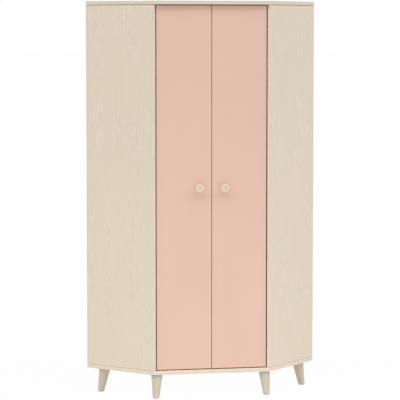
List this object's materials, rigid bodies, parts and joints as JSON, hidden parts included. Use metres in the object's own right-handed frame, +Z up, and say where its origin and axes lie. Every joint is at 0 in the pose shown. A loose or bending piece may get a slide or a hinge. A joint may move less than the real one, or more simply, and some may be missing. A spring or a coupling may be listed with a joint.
{
  "type": "corner wardrobe",
  "caption": "Tall five-sided wardrobe for a room corner, with inset doors across its diagonal front, turned knobs, splayed tapered legs, a hat shelf and a hanging rail.",
  "frame": {"origin": "on the floor, in the middle of the part's box", "axes": "+Z up, +X to the right along the diagonal front, +Y from the front into the room corner"},
  "size_m": [1.195, 0.9036, 2],
  "materials": {
    "pale_board": "pale washed wood decor, satin, fine upright grain",
    "blush_board": "plain blush pink, smooth satin",
    "back_board": "thin hardboard, raw brown outside, printed decor inside",
    "batten_wood": "planed spruce, bare and matt",
    "leg_wood": "turned pale wood, greyed, satin lacquer",
    "knob_wood": "turned pale wood, satin lacquer",
    "nickel_steel": "pressed steel, nickel plated",
    "rail_steel": "drawn tube, satin chrome",
    "zinc_steel": "pressed steel, zinc plated",
    "felt": "pressed felt"
  },
  "bodies": {
    "carcass": {"top_board": "pale_board", "bottom_board": "pale_board", "left_side_panel": "pale_board", "right_side_panel": "pale_board", "left_back_panel": "back_board", "right_back_panel": "back_board", "rear_corner_strip": "batten_wood", "hat_shelf": "pale_board", "left_shelf_batten": "batten_wood", "right_shelf_batten": "batten_wood", "rear_shelf_batten": "batten_wood", "hanging_rail": "rail_steel", "left_rail_bracket": "zinc_steel", "right_rail_bracket": "zinc_steel", "front_left_leg_disc": "zinc_steel", "front_left_leg": "leg_wood", "front_left_glide": "felt", "front_right_leg_disc": "zinc_steel", "front_right_leg": "leg_wood", "front_right_glide": "felt", "rear_left_leg_disc": "zinc_steel", "rear_left_leg": "leg_wood", "rear_left_glide": "felt", "rear_right_leg_disc": "zinc_steel", "rear_right_leg": "leg_wood", "rear_right_glide": "felt", "rear_corner_leg_disc": "zinc_steel", "rear_corner_leg": "leg_wood", "rear_corner_glide": "felt", "left_hinge_arm_1": "nickel_steel", "left_hinge_plate_1": "nickel_steel", "left_hinge_arm_2": "nickel_steel", "left_hinge_plate_2": "nickel_steel", "left_hinge_arm_3": "nickel_steel", "left_hinge_plate_3": "nickel_steel", "left_hinge_arm_4": "nickel_steel", "left_hinge_plate_4": "nickel_steel", "right_hinge_arm_1": "nickel_steel", "right_hinge_plate_1": "nickel_steel", "right_hinge_arm_2": "nickel_steel", "right_hinge_plate_2": "nickel_steel", "right_hinge_arm_3": "nickel_steel", "right_hinge_plate_3": "nickel_steel", "right_hinge_arm_4": "nickel_steel", "right_hinge_plate_4": "nickel_steel"},
    "left_leaf": {"left_door": "blush_board", "left_knob": "knob_wood", "left_knob_screw": "zinc_steel", "left_hinge_cup_1": "nickel_steel", "left_hinge_cup_2": "nickel_steel", "left_hinge_cup_3": "nickel_steel", "left_hinge_cup_4": "nickel_steel"},
    "right_leaf": {"right_door": "blush_board", "right_knob": "knob_wood", "right_knob_screw": "zinc_steel", "right_hinge_cup_1": "nickel_steel", "right_hinge_cup_2": "nickel_steel", "right_hinge_cup_3": "nickel_steel", "right_hinge_cup_4": "nickel_steel"}
  },
  "joints": [
    {"name": "left_door_hinge", "type": "hinge", "parent": "carcass", "child": "left_leaf", "pos_m": [-0.25838, -0.40572, 1.06], "axis": [0, 0, -1], "range_deg": [0, 95]},
    {"name": "right_door_hinge", "type": "hinge", "parent": "carcass", "child": "right_leaf", "pos_m": [0.25838, -0.40572, 1.06], "axis": [0, 0, 1], "range_deg": [0, 95]}
  ]
}
